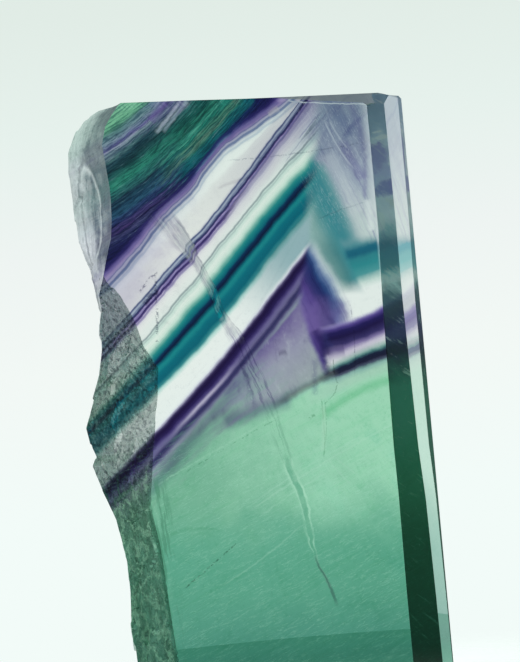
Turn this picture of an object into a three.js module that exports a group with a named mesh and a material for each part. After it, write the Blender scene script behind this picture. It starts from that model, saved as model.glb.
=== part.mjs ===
// A polished slice of banded fluorite, standing on its sawn lower edge.
// Millimetres, +Z up. The polished front looks along -Y, and the origin is at the centre of the
// base of the bounding box. One natural piece: its right side, top, front and back are cut and
// polished, and its left side is the broken outside of the vein.

import * as THREE from 'three';

// Driving dimensions
const thickness = 12;            // front face to back face
const rightEdge = 19.9;          // the outermost line of the right side
const rightBevelDepth = 3.4;     // how deep the steep front bevel of the right side goes
const topBevelDepth = 1.3;       // the same for the shallow bevel of the top
const wallRelief = 0.32;         // height of the ridges on the broken side
const depthShares = [0, 0.1, 0.19, 0.283, 0.4, 0.52, 0.64, 0.76, 0.88, 1];

// The right side, from the base up: height, then where the front face and the back face end.
const rightRows = [
  { z: 0, front: 18.5, back: 15.5 },
  { z: 14, front: 18.4, back: 15.5 },
  { z: 25.5, front: 18.25, back: 15.6 },
  { z: 31.5, front: 17.95, back: 15.55 },
  { z: 48.5, front: 17.7, back: 15.8 },
  { z: 57, front: 17.75, back: 16.1 },
];

// The top, from right to left. The first three are the small facet at the mitred corner.
const topRows = [
  { x: 19.9, z: 71.9, frontX: 17.66, frontZ: 71.02, backX: 16.1, backZ: 71.95 },
  { x: 19.6, z: 72.27, frontX: 17.62, frontZ: 71.18, backX: 15.7, backZ: 72.3 },
  { x: 16.75, z: 72.65, frontX: 17.45, frontZ: 71.24, backX: 14.9, backZ: 72.7 },
  { x: 4.7, z: 73.24, frontX: 4.7, frontZ: 73.08, backX: 4.7, backZ: 73.24 },
  { x: -4, z: 73.67, frontX: -4, frontZ: 73.62, backX: -4, backZ: 73.67 },
];

// The broken side, from the top down: height, where the polished front ends, where the side
// stands out furthest, and where the back face ends. High up the side swells out behind the
// front face; lower down it leans in under it.
const brokenRows = [
  { z: 74.1, front: -12.5, middle: -13.6, back: -14.2 },
  { z: 73.75, front: -12.9, middle: -15.6, back: -15.4 },
  { z: 72.9, front: -13.6, middle: -17.2, back: -16.7 },
  { z: 71.6, front: -14.5, middle: -18.25, back: -17.8 },
  { z: 69.5, front: -15.1, middle: -19.2, back: -18.9 },
  { z: 67.2, front: -14.9, middle: -19.45, back: -19 },
  { z: 64, front: -14.65, middle: -19.2, back: -18.6 },
  { z: 61, front: -14.75, middle: -19.05, back: -18.4 },
  { z: 58.6, front: -15.05, middle: -18.95, back: -18.2 },
  { z: 56.3, front: -15.85, middle: -18.35, back: -17.4 },
  { z: 54, front: -16.5, middle: -17.4, back: -16.5 },
  { z: 52.3, front: -17.05, middle: -16.9, back: -15.2 },
  { z: 50.5, front: -16.85, middle: -16.2, back: -14.3 },
  { z: 48.9, front: -17.25, middle: -16.2, back: -13.6 },
  { z: 46, front: -17.3, middle: -16, back: -12.8 },
  { z: 43.2, front: -17.85, middle: -15.9, back: -11.4 },
  { z: 39.7, front: -19, middle: -16.8, back: -11.8 },
  { z: 37.2, front: -19.9, middle: -17.6, back: -12.3 },
  { z: 34.8, front: -19.45, middle: -17.4, back: -12.7 },
  { z: 33.8, front: -19.1, middle: -17.2, back: -12.9 },
  { z: 32.8, front: -19.55, middle: -17.5, back: -13 },
  { z: 29.7, front: -18.65, middle: -17, back: -13.4 },
  { z: 26.4, front: -17.5, middle: -16.3, back: -13.7 },
  { z: 21.6, front: -16.6, middle: -15.4, back: -13 },
  { z: 18.1, front: -16.6, middle: -15.2, back: -12.8 },
  { z: 13.5, front: -16.75, middle: -15.3, back: -12.5 },
  { z: 9.9, front: -16.45, middle: -15, back: -12.2 },
  { z: 5, front: -16.3, middle: -14.9, back: -12.1 },
  { z: 0, front: -16.2, middle: -14.8, back: -12 },
];

const mix = THREE.MathUtils.lerp;

// A value that goes from front to middle over a bevel's depth, then on to back at the back face.
function acrossBevel(depth, bevelDepth, front, middle, back) {
  if (depth < bevelDepth) return mix(front, middle, depth / bevelDepth);
  return mix(middle, back, (depth - bevelDepth) / (thickness - bevelDepth));
}

// Low ridges that run down the broken side. They die out at the front and back faces, and at
// the base, so that those stay flat.
function ridges(z, share) {
  const fade = Math.sin(Math.PI * share) * Math.min(1, z / 6);
  const waves = Math.sin(1.9 * z + 9 * share) + 0.7 * Math.sin(0.83 * z - 14 * share + 1.3);
  return wallRelief * fade * waves * 0.6;
}

// The broken side at one height: a curve through its front, middle and back, plus the ridges.
function brokenX(row, share) {
  const bow = 4 * share * (1 - share) * (row.middle - (row.front + row.back) / 2);
  return mix(row.front, row.back, share) + bow + ridges(row.z, share);
}

// The slab's outline at one depth behind the front face, counter-clockwise from the front.
function outline(share) {
  const depth = share * thickness;
  const right = rightRows.map((row) => {
    const x = acrossBevel(depth, rightBevelDepth, row.front, rightEdge, row.back);
    return new THREE.Vector2(x, row.z);
  });
  const top = topRows.map((row) => {
    const bevel = row.x > 16 ? rightBevelDepth : topBevelDepth;
    const x = acrossBevel(depth, bevel, row.frontX, row.x, row.backX);
    const z = acrossBevel(depth, topBevelDepth, row.frontZ, row.z, row.backZ);
    return new THREE.Vector2(x, z);
  });
  const broken = brokenRows.map((row) => new THREE.Vector2(brokenX(row, share), row.z));
  return [...right, ...top, ...broken];
}

// Joins the outlines front to back, and closes the two ends with flat faces.
function slabGeometry() {
  const outlines = depthShares.map(outline);
  const count = outlines[0].length;
  const positions = outlines.flatMap((points, level) => {
    const y = (depthShares[level] - 0.5) * thickness;
    return points.flatMap((point) => [point.x, y, point.y]);
  });

  const faces = [];
  for (let level = 0; level < outlines.length - 1; level += 1) {
    for (let i = 0; i < count; i += 1) {
      const next = (i + 1) % count;
      const front = level * count;
      const back = front + count;
      faces.push(front + i, back + next, front + next);
      faces.push(front + i, back + i, back + next);
    }
  }
  const last = (outlines.length - 1) * count;
  for (const [a, b, c] of THREE.ShapeUtils.triangulateShape(outlines[0], [])) {
    faces.push(a, b, c);
  }
  for (const [a, b, c] of THREE.ShapeUtils.triangulateShape(outlines.at(-1), [])) {
    faces.push(last + a, last + c, last + b);
  }

  const geometry = new THREE.BufferGeometry();
  geometry.setAttribute('position', new THREE.Float32BufferAttribute(positions, 3));
  geometry.setIndex(faces);
  geometry.computeVertexNormals();
  return geometry;
}

const fluorite = new THREE.MeshStandardMaterial({
  color: 0x8fc4b4,
  roughness: 0.06,
  metalness: 0,
});

const slab = new THREE.Mesh(slabGeometry(), fluorite);
slab.name = 'fluorite_slab';

const part = new THREE.Group();
part.add(slab);

export default part;
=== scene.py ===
import math

import bpy
import numpy as np
from mathutils import Matrix, Vector


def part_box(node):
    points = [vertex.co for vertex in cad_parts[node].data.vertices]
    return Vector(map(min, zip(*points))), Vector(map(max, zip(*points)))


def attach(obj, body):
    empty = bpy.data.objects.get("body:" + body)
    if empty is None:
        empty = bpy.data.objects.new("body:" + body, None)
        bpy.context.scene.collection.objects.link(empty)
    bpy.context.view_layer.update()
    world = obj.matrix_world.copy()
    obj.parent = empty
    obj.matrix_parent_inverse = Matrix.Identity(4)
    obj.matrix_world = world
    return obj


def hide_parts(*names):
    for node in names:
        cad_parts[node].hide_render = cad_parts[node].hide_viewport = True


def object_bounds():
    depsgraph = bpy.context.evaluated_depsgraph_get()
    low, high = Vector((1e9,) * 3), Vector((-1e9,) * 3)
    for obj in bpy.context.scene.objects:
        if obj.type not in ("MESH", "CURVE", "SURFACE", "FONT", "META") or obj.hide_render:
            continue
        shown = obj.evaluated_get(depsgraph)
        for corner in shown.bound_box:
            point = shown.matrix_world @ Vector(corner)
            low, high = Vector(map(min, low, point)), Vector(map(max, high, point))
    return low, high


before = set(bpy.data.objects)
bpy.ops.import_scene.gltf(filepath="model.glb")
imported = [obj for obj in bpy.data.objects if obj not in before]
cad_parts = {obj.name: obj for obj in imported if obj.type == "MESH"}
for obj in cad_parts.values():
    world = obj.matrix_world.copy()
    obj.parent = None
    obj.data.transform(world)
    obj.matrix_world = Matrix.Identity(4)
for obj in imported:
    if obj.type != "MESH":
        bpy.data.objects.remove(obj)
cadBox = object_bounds()
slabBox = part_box("fluorite_slab")

mm = 0.001
white = (1.0, 1.0, 1.0)
halfThickness = (slabBox[1].y - slabBox[0].y) / 2 / mm
rightEdge = slabBox[1].x / mm
leftEdge = slabBox[0].x / mm
print("frame loaded:", round(rightEdge - leftEdge, 1), "x", round(2 * halfThickness, 1), "mm")


cameraSetup = {
    "lookAt": (1.04, 46.5),  # x and height of the middle of the view, mm
    "distance": 280.0,  # from the front face, mm
    "viewHeight": 76.13,  # height of the view at the front face, mm
    "roll": 5.3,  # degrees
}


def makeCamera(setup):
    # A camera square to the front face, turned about its own line of sight
    data = bpy.data.cameras.new("camera")
    data.lens = data.sensor_width * setup["distance"] / setup["viewHeight"]
    data.clip_start, data.clip_end = 0.01, 20.0
    camera = bpy.data.objects.new("camera", data)
    bpy.context.scene.collection.objects.link(camera)
    x, z = setup["lookAt"]
    place = Vector((x, -halfThickness - setup["distance"], z)) * mm
    upright = Matrix.Rotation(math.radians(90), 4, "X")
    roll = Matrix.Rotation(math.radians(-setup["roll"]), 4, "Z")
    camera.matrix_world = Matrix.Translation(place) @ (upright @ roll)
    bpy.context.scene.camera = camera


makeCamera(cameraSetup)
print("camera placed")


class Wire:
    # A node's output that takes part in arithmetic: each operation adds its Math nodes
    def __init__(self, shader, socket):
        self.shader, self.socket = shader, socket

    def maths(self, operation, *others):
        # One Math node on this wire and the others
        values = [self, *others]
        return self.shader.node("ShaderNodeMath", {"operation": operation}, dict(enumerate(values)))

    def __add__(self, other):
        return self.maths("ADD", other)

    def __sub__(self, other):
        return self.maths("SUBTRACT", other)

    def __mul__(self, other):
        return self.maths("MULTIPLY", other)

    def __truediv__(self, other):
        return self.maths("DIVIDE", other)

    def __pow__(self, other):
        return self.maths("POWER", other)

    def __rsub__(self, other):
        return -self + other

    def __neg__(self):
        return self.maths("MULTIPLY", -1.0)

    __radd__ = __add__
    __rmul__ = __mul__


class Shader:
    # A material or a world, emptied. Its node method adds every node, and the others call it
    def __init__(self, owner):
        owner.use_nodes = True
        self.owner, self.tree = owner, owner.node_tree
        self.tree.nodes.clear()

    def node(self, kind, settings=None, values=None, output=0):
        # One node of a kind: its settings first, then its sockets' values or links
        made = self.tree.nodes.new(kind)
        for name, value in (settings or {}).items():
            if name == "stops":
                setStops(made.color_ramp, value)
            elif name == "points":
                setPoints(made.mapping, value)
            else:
                setattr(made, name, value)
        for name, value in (values or {}).items():
            if isinstance(value, Wire):
                self.tree.links.new(value.socket, made.inputs[name])
            else:
                made.inputs[name].default_value = value
        return Wire(self, made.outputs[output]) if made.outputs else None

    def parts(self, vector):
        # The three numbers of a vector
        split = self.node("ShaderNodeSeparateXYZ", values={0: vector})
        return [Wire(self, socket) for socket in split.socket.node.outputs]

    def place(self):
        # Object coordinates in millimetres, as three numbers
        return [part * (1 / mm) for part in self.parts(self.node("ShaderNodeTexCoord", output="Object"))]

    def noise(self, x, y, z, scale, detail=2.0, roughness=0.5):
        # Noise about zero, from -0.5 to 0.5
        at = self.node("ShaderNodeCombineXYZ", values={0: x, 1: y, 2: z})
        settings = {"noise_dimensions": "3D"}
        values = {"Vector": at, "Scale": scale, "Detail": detail, "Roughness": roughness}
        return self.node("ShaderNodeTexNoise", settings, values) - 0.5

    def step(self, value, low, high):
        # 0 below low, 1 above high, smooth between; low may be the larger
        settings = {"interpolation_type": "SMOOTHSTEP"}
        if low > high:
            values = {0: value, 1: high, 2: low, 3: 1.0, 4: 0.0}
        else:
            values = {0: value, 1: low, 2: high, 3: 0.0, 4: 1.0}
        return self.node("ShaderNodeMapRange", settings, values)

    def window(self, value, low, high, soft):
        # 1 between low and high, with soft edges
        return self.step(value, low - soft, low + soft) * self.step(value, high + soft, high - soft)

    def streak(self, spot, start, end, width, soft, bow=0.0):
        # 1 on a soft line from start to end, bowed sideways, fading at its ends; spot is the
        # vector (x, 1, height), so that one dot product measures from any line
        length = math.dist(start, end)
        runX, runZ = (end[0] - start[0]) / length, (end[1] - start[1]) / length
        midX, midZ = (start[0] + end[0]) / 2, (start[1] + end[1]) / 2
        along = self.dot(spot, (runX / length, -(midX * runX + midZ * runZ) / length, runZ / length))
        off = self.dot(spot, (-runZ, midX * runZ - midZ * runX - bow, runX))
        square = along * along
        across = square.maths("MULTIPLY_ADD", 4 * bow, off).maths("ABSOLUTE")
        line = self.step(across, width / 2 + soft, max(width / 2 - soft, 0))
        return line * self.step(square, 0.25, 0.15)

    def dot(self, first, second):
        # Dot product of two vectors
        settings = {"operation": "DOT_PRODUCT"}
        return self.node("ShaderNodeVectorMath", settings, {0: first, 1: second}, output=1)

    def mix(self, amount, first, second, blend="MIX"):
        # From the first colour to the second, each a link or three numbers
        settings = {"data_type": "RGBA", "blend_type": blend, "clamp_factor": True}
        values = {0: amount, 6: colour(first), 7: colour(second)}
        return self.node("ShaderNodeMix", settings, values, output=2)

    def shade(self, amount, first, second):
        # The second colour laid over the first as a filter
        return self.mix(amount, first, second, "MULTIPLY")

    def curve(self, value, points):
        # A number that follows a smooth curve through a few points
        (low, high), (least, most) = [(min(values), max(values)) for values in zip(*points)]
        scaled = [((at - low) / (high - low), (to - least) / (most - least)) for at, to in points]
        values = {"Value": (value - low) / (high - low)}
        return self.node("ShaderNodeFloatCurve", {"points": scaled}, values) * (most - least) + least

    def ramp(self, value, stops):
        # A colour for each level, from the lowest level to the highest
        low, high = stops[0][0], stops[-1][0]
        scaled = [((level - low) / (high - low), tone) for level, tone in stops]
        return self.node("ShaderNodeValToRGB", {"stops": scaled}, {0: (value - low) / (high - low)})


def colour(value):
    # A link as it is, or three numbers with full alpha
    return value if isinstance(value, Wire) else (*value, 1.0)


def setStops(ramp, stops):
    # Positions and colours on a colour ramp, in rising order
    while len(ramp.elements) > 1:
        ramp.elements.remove(ramp.elements[-1])
    for i, (position, tone) in enumerate(stops):
        element = ramp.elements[0] if i == 0 else ramp.elements.new(position)
        element.position, element.color = position, colour(tone)


def setPoints(mapping, points):
    # Points on a float curve, which sorts them
    curve = mapping.curves[0]
    curve.points[0].location, curve.points[1].location = points[0], points[-1]
    for x, y in points[1:-1]:
        curve.points.new(x, y)
    mapping.update()


slabShape = {
    "bevelDepth": 3.4,  # steep front bevel of the right side, mm
    "topBevelDepth": 1.3,  # shallow front bevel of the top, mm
    "steepFrom": 16.0,  # right of this x the top's ends follow the steep bevel sideways, mm
    "sharpAngle": 38,  # edges that turn by more than this stay sharp, degrees
    "depthSteps": 60,  # lines from the front face to the back face
    "closest": 0.08,  # an even line this near to a bevel line is left out, mm
    "brokenSteps": 460,  # points up the broken side
    # layers of chips on the broken side: size mm, slope; flatter on its bulge
    "chips": [(3.6, 0.10), (1.3, 0.04), (0.5, 0.03)],
    "bulgeFrom": (54.5, 59.0),  # heights between which the bulge begins, mm
    "bulgeChips": 0.3,  # share of the chips' height that the bulge keeps
    "reliefLevel": 0.25,  # lowers the chips as a whole, mm
    "edgeRelief": 0.25,  # share of their height left at the front and back faces
    "fadeLength": 2.0,  # they fade out this near to the top and the base, mm
    # an oval ridge on the bulge with ripples inside and outside it; widths are shares of its size
    "shell": {"depth": 2.7, "height": 61.3, "halfDepth": 1.5, "halfHeight": 6.2,
              "ridge": 0.20, "ridgeWidth": 0.12, "ripple": 0.05, "rings": 3.0,
              "rippled": 0.8, "rippleSpread": 0.5},
    # right side from the base up: height, front face's end, back face's end
    "right": [(0, 18.5, 15.5), (14, 18.4, 15.5), (25.5, 18.25, 15.6), (31.5, 17.95, 15.55),
              (48.5, 17.7, 15.8), (57, 17.75, 16.1)],
    # top from right to left: x, height, front x, front height, back x, back height
    "top": [(19.9, 71.9, 17.66, 71.02, 16.1, 71.95), (19.6, 72.27, 17.62, 71.18, 15.7, 72.3),
            (16.75, 72.65, 17.45, 71.24, 14.9, 72.7), (4.7, 73.24, 4.7, 73.08, 4.7, 73.24),
            (-4, 73.67, -4, 73.62, -4, 73.67)],
    # broken side from the top down: height, x at the front, the middle and the back
    "broken": [(74.1, -12.5, -13.6, -14.2), (73.75, -12.9, -15.6, -15.4), (72.9, -13.6, -17.2, -16.7),
               (71.6, -14.5, -18.25, -17.8), (69.5, -15.1, -19.2, -18.9), (67.2, -14.9, -19.45, -19),
               (64, -14.65, -19.2, -18.6), (61, -14.75, -19.05, -18.4), (58.6, -15.05, -18.95, -18.2),
               (56.3, -15.85, -18.35, -17.4), (54, -16.5, -17.4, -16.5), (52.3, -17.05, -16.9, -15.2),
               (50.5, -16.85, -16.2, -14.3), (48.9, -17.25, -16.2, -13.6), (46, -17.3, -16, -12.8),
               (43.2, -17.85, -15.9, -11.4), (39.7, -19, -16.8, -11.8), (37.2, -19.9, -17.6, -12.3),
               (34.8, -19.45, -17.4, -12.7), (33.8, -19.1, -17.2, -12.9), (32.8, -19.55, -17.5, -13),
               (29.7, -18.65, -17, -13.4), (26.4, -17.5, -16.3, -13.7), (21.6, -16.6, -15.4, -13),
               (18.1, -16.6, -15.2, -12.8), (13.5, -16.75, -15.3, -12.5), (9.9, -16.45, -15, -12.2),
               (5, -16.3, -14.9, -12.1), (0, -16.2, -14.8, -12)],
}


def chipped(across, deep, size, slope, seed):
    # Height of a chipped surface: each cell of a square net holds one seeded point with a small
    # tilted plane, and the surface is the highest of the three planes nearest to a place.
    rng = np.random.default_rng(seed)
    at = np.stack([across.ravel(), deep.ravel()], 1) / size
    low = np.floor(at.min(0)).astype(int) - 1
    net = tuple(np.floor(at.max(0)).astype(int) + 2 - low)
    shift, tilt = rng.uniform(0, 1, (*net, 2)), rng.normal(0, slope, (*net, 2))
    lift = rng.uniform(-0.5, 0.5, net) * slope
    ring = np.stack(np.meshgrid([-1, 0, 1], [-1, 0, 1]), 2).reshape(9, 2)
    cells = np.floor(at).astype(int)[:, None] + ring - low
    gaps = at[:, None] - (cells + low + shift[cells[..., 0], cells[..., 1]])
    nearest = np.argpartition((gaps ** 2).sum(2), 3, axis=1)[:, :3, None]
    cells = np.take_along_axis(cells, nearest, 1)
    planes = (np.take_along_axis(gaps, nearest, 1) * tilt[cells[..., 0], cells[..., 1]]).sum(2)
    heights = planes + lift[cells[..., 0], cells[..., 1]]
    return heights.max(1).reshape(across.shape) * size


def shellRipples(z, depth, shell):
    # Height over the bulge: with out measured from the oval's middle and 1 on the oval itself, a
    # bell-shaped ridge at 1, and a sine of out that fades on both sides of its strongest place
    across, up = depth - shell["depth"], z - shell["height"]
    out = np.hypot(across / shell["halfDepth"], up / shell["halfHeight"])
    ridge = shell["ridge"] * np.exp(-((out - 1) / shell["ridgeWidth"]) ** 2)
    fading = np.exp(-(out - shell["rippled"]) ** 2 / shell["rippleSpread"])
    return ridge + shell["ripple"] * np.sin(2 * np.pi * out * shell["rings"]) * fading


def acrossBevel(depth, bevelDepth, front, middle, back):
    # front to middle over the bevel's depth, then on to back at the back face
    first = np.clip(depth / bevelDepth, 0, 1)
    second = np.clip((depth - bevelDepth) / (2 * halfThickness - bevelDepth), 0, 1)
    return front + (middle - front) * first + (back - middle) * second


def slabSurface(shape):
    # An outline of x and height carried from the front face to the back face: the right side and
    # top run straight between their bevel lines, and the broken side is a curve through its
    # front, middle and back, moved along its own normal by layers of chips.
    fixed = [0, shape["topBevelDepth"], shape["bevelDepth"], 2 * halfThickness]
    even = np.linspace(0, 2 * halfThickness, shape["depthSteps"])
    keep = np.abs(even[:, None] - np.array(fixed)).min(1) > shape["closest"]
    depth = np.sort(np.concatenate([even[keep], fixed]))[:, None]
    share = depth / (2 * halfThickness)

    right = np.array(shape["right"])
    rightX = acrossBevel(depth, shape["bevelDepth"], right[:, 1], rightEdge, right[:, 2])
    rightZ = np.broadcast_to(right[:, 0], rightX.shape)
    top = np.array(shape["top"])
    bevels = np.where(top[:, 0] > shape["steepFrom"], shape["bevelDepth"], shape["topBevelDepth"])
    topX = acrossBevel(depth, bevels, top[:, 2], top[:, 0], top[:, 4])
    topZ = acrossBevel(depth, shape["topBevelDepth"], top[:, 3], top[:, 1], top[:, 5])

    rows = np.array(shape["broken"])
    length = np.concatenate([[0], np.cumsum(np.hypot(np.diff(rows[:, 0]), np.diff(rows[:, 2])))])
    run = np.linspace(0, length[-1], shape["brokenSteps"])
    z, front, middle, back = (np.interp(run, length, rows[:, i]) for i in range(4))
    bow = 4 * share * (1 - share) * (middle - (front + back) / 2)
    x = front + (back - front) * share + bow
    along = np.stack([np.gradient(x, run, axis=1), np.broadcast_to(np.gradient(z, run), x.shape)])
    along /= np.hypot(*along)
    runs, depths = np.broadcast_arrays(run[None], depth)
    relief = sum(chipped(runs, depths, size, slope, seed + 1)
                 for seed, (size, slope) in enumerate(shape["chips"])) - shape["reliefLevel"]
    start, full = shape["bulgeFrom"]
    bulge = np.clip((z - start) / (full - start), 0, 1)
    relief = relief * (1 - (1 - shape["bulgeChips"]) * bulge)
    relief = relief - bulge * shellRipples(z, depth, shape["shell"])
    inside = np.sin(np.pi * share) ** 0.5
    ends = np.clip(np.minimum(runs, length[-1] - runs) / shape["fadeLength"], 0, 1)
    relief = relief * (shape["edgeRelief"] + (1 - shape["edgeRelief"]) * inside) * ends
    brokenX = np.maximum(x + along[1] * relief, leftEdge + 0.01)
    brokenZ = np.clip(z[None] - along[0] * relief, 0, slabBox[1].z / mm)

    xs = np.concatenate([rightX, topX, brokenX], 1)
    zs = np.concatenate([rightZ, topZ, brokenZ], 1)
    ys = np.broadcast_to(depth - halfThickness, xs.shape)
    return np.stack([xs, ys, zs], 2) * mm, right.shape[0] + top.shape[0]


def makeMesh(name, points, faces):
    # An object at the origin, with its place in its mesh
    mesh = bpy.data.meshes.new(name)
    mesh.from_pydata(points.reshape(-1, 3), [], faces)
    mesh.update()
    piece = bpy.data.objects.new(name, mesh)
    bpy.context.scene.collection.objects.link(piece)
    return piece


slabSlots = ["front", "back", "edges", "broken", "ground"]


def makeSlab(shape):
    # Each outline is joined to the next one by a ring of quads, and one large face closes the
    # front and one the back; a face's place in the ring gives its finish
    points, polished = slabSurface(shape)
    levels, count = points.shape[:2]
    level, i = np.meshgrid(np.arange(levels - 1), np.arange(count), indexing="ij")
    after = (i + 1) % count
    sides = np.stack([level * count + i, (level + 1) * count + i,
                      (level + 1) * count + after, level * count + after], 2).reshape(-1, 4)
    frontFace = np.arange(count)
    backFace = (levels - 1) * count + frontFace[::-1]
    faces = [*sides.tolist(), frontFace.tolist(), backFace.tolist()]
    slab = makeMesh("fluoriteSlab", points, faces)
    mesh = slab.data
    mesh.shade_smooth()
    mesh.set_sharp_from_angle(angle=math.radians(shape["sharpAngle"]))
    slots = np.full(len(faces), slabSlots.index("edges"), np.int32)
    column, row = i.ravel(), level.ravel()
    behindBevel = points[row, column, 1] > (shape["bevelDepth"] - halfThickness) * mm - 1e-6
    slots[: len(sides)][(column >= polished) & (column < count - 1)] = slabSlots.index("broken")
    slots[: len(sides)][(column < len(shape["right"])) & behindBevel] = slabSlots.index("ground")
    slots[-2:] = slabSlots.index("front"), slabSlots.index("back")
    mesh.polygons.foreach_set("material_index", slots)
    return slab


leftBands = {
    # swell of the layers along their run: height mm, length of one wave mm, where it crosses zero
    "swell": (0.32, 44.0, 52.0),
    # layers under the middle: level (mm), share of light let through
    "lower": [(37.5, (0.34, 0.36, 0.46)), (42.6, (0.32, 0.34, 0.42)), (43.6, (0.30, 0.34, 0.42)),
              (44.0, (0.16, 0.16, 0.30)), (44.3, (0.06, 0.05, 0.16)), (44.6, (0.03, 0.03, 0.12)),
              (44.85, (0.06, 0.05, 0.16)), (45.15, (0.16, 0.14, 0.30)), (45.55, (0.16, 0.13, 0.32)),
              (45.95, (0.06, 0.04, 0.18)), (46.3, (0.02, 0.01, 0.09)), (46.9, (0.01, 0.003, 0.05)),
              (47.2, (0.02, 0.01, 0.07)), (47.45, (0.09, 0.07, 0.18)), (47.7, (0.44, 0.40, 0.56)),
              (47.9, (0.84, 0.83, 0.91)), (48.25, (0.97, 0.97, 0.97)),
              (50.8, (0.97, 0.97, 0.96)), (51.35, (0.55, 0.80, 0.76)), (51.75, (0.04, 0.28, 0.31)),
              (52.4, (0.0, 0.13, 0.19)), (53.4, (0.0, 0.16, 0.22)), (54.1, (0.01, 0.27, 0.29)),
              (54.55, (0.0, 0.13, 0.18)), (54.85, (0.0, 0.008, 0.04)), (55.4, (0.0, 0.02, 0.08)),
              (55.75, (0.0, 0.14, 0.20)), (56.4, (0.01, 0.25, 0.26)), (56.85, (0.17, 0.46, 0.40)),
              (57.4, (0.66, 0.84, 0.75)), (58.2, (0.95, 0.97, 0.92))],
    "upper": [(58.0, (0.96, 0.97, 0.92)), (58.6, (0.76, 0.89, 0.82)), (59.05, (0.62, 0.76, 0.72)),
              (59.2, (0.26, 0.32, 0.34)), (59.35, (0.34, 0.40, 0.42)), (59.5, (0.88, 0.91, 0.89)),
              (60.2, (0.97, 0.97, 0.97)), (61.1, (0.95, 0.93, 0.97)), (61.42, (0.70, 0.64, 0.82)),
              (61.56, (0.10, 0.07, 0.28)), (61.72, (0.02, 0.015, 0.09)), (61.88, (0.05, 0.03, 0.17)),
              (62.02, (0.66, 0.46, 0.84)), (62.18, (0.58, 0.42, 0.78)), (62.3, (0.08, 0.05, 0.22)),
              (62.42, (0.015, 0.015, 0.09)), (62.62, (0.02, 0.03, 0.12)), (62.76, (0.30, 0.34, 0.52)),
              (62.98, (0.46, 0.52, 0.66)), (63.14, (0.28, 0.34, 0.50)), (63.27, (0.04, 0.06, 0.18)),
              (63.42, (0.08, 0.10, 0.24)), (63.58, (0.78, 0.78, 0.86)), (63.85, (0.98, 0.97, 0.96)),
              (68.0, (0.99, 0.98, 0.97))],
    # the white layers dim to lilac grey as they near the corner
    "veil": {"far": (0.97, 0.95, 0.94), "near": (0.74, 0.70, 0.77), "corner": (0.60, 0.60, 0.74)},
    "greyTeal": (0.36, 0.52, 0.57),  # over the pale layer near the corner
    "gap": (0.80, 0.70, 0.88),  # between the purple layers
    "faded": (0.56, 0.54, 0.72),  # the upper thin line where it fades
    "smears": ((0.70, 0.66, 0.80), (0.80, 0.79, 0.82)),  # at the far left, and left of the middle
    "streaks": (0.76, 0.74, 0.80),  # along every layer
}

capBands = {
    # height of the dark corner's lower edge on its own curved level, by x (mm)
    "start": [(-18.0, 52.9), (-15.0, 53.7), (-12.0, 54.9), (-10.0, 55.9), (-8.0, 56.4), (-6.0, 56.3),
              (-4.0, 56.8), (-2.0, 57.1), (0.0, 56.6), (3.5, 55.3), (8.0, 53.8)],
    # up from that edge, mm: thin blue lines and a lilac strip, then dark
    "edge": [(-0.35, (1.0, 1.0, 1.0)), (-0.05, (0.66, 0.70, 0.78)), (0.08, (0.18, 0.25, 0.42)),
             (0.28, (0.16, 0.22, 0.38)), (0.42, (0.50, 0.52, 0.64)), (0.58, (0.42, 0.42, 0.56)),
             (0.68, (0.14, 0.15, 0.34)), (0.78, (0.30, 0.25, 0.47)), (0.95, (0.40, 0.31, 0.55)),
             (1.25, (0.34, 0.27, 0.52)), (1.45, (0.16, 0.11, 0.34)), (1.65, (0.03, 0.02, 0.15)),
             (2.1, (0.012, 0.01, 0.09))],
    # streaks on the curved level, far from the growth corner and near it
    "far": [(57.0, (0.01, 0.01, 0.08)), (57.7, (0.015, 0.02, 0.10)), (58.1, (0.07, 0.08, 0.20)),
            (58.5, (0.01, 0.01, 0.07)), (59.2, (0.10, 0.06, 0.22)), (59.6, (0.012, 0.015, 0.09)),
            (60.4, (0.03, 0.05, 0.17)), (61.2, (0.03, 0.11, 0.20)), (61.9, (0.015, 0.07, 0.13)),
            (62.4, (0.01, 0.03, 0.07)), (63.0, (0.03, 0.15, 0.16)), (63.9, (0.03, 0.26, 0.19)),
            (64.6, (0.04, 0.30, 0.21)), (65.2, (0.02, 0.14, 0.13)), (65.8, (0.008, 0.05, 0.06)),
            (66.8, (0.01, 0.05, 0.08)), (67.3, (0.06, 0.16, 0.17)), (67.8, (0.24, 0.33, 0.37)),
            (68.2, (0.36, 0.37, 0.50)), (68.55, (0.13, 0.09, 0.34)), (68.9, (0.20, 0.20, 0.40)),
            (69.4, (0.38, 0.40, 0.56)), (69.9, (0.16, 0.24, 0.34)), (70.3, (0.10, 0.26, 0.22)),
            (70.8, (0.20, 0.52, 0.33)), (72.0, (0.28, 0.62, 0.40))],
    "close": [(57.0, (0.010, 0.008, 0.08)), (58.7, (0.006, 0.012, 0.10)), (59.2, (0.004, 0.10, 0.14)),
              (60.0, (0.004, 0.14, 0.18)), (60.5, (0.02, 0.20, 0.16)), (60.8, (0.15, 0.27, 0.21)),
              (61.1, (0.03, 0.14, 0.12)), (61.4, (0.13, 0.27, 0.19)), (61.8, (0.012, 0.14, 0.12)),
              (62.35, (0.02, 0.28, 0.21)), (62.6, (0.16, 0.54, 0.40)), (62.85, (0.06, 0.40, 0.29)),
              (63.2, (0.008, 0.10, 0.08)), (63.7, (0.03, 0.24, 0.17)), (64.3, (0.005, 0.09, 0.08)),
              (65.4, (0.01, 0.12, 0.11)), (66.0, (0.03, 0.18, 0.16)), (66.5, (0.10, 0.16, 0.20)),
              (67.0, (0.20, 0.20, 0.36)), (67.4, (0.08, 0.06, 0.22)), (68.0, (0.18, 0.15, 0.36)),
              (68.8, (0.08, 0.06, 0.22)), (70.5, (0.10, 0.10, 0.24))],
    "hairs": ((0.22, 0.34, 0.42), (0.34, 0.46, 0.52)),  # dark and pale
    "crossing": (0.24, 0.30, 0.46),  # a few steep lines
}


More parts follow.
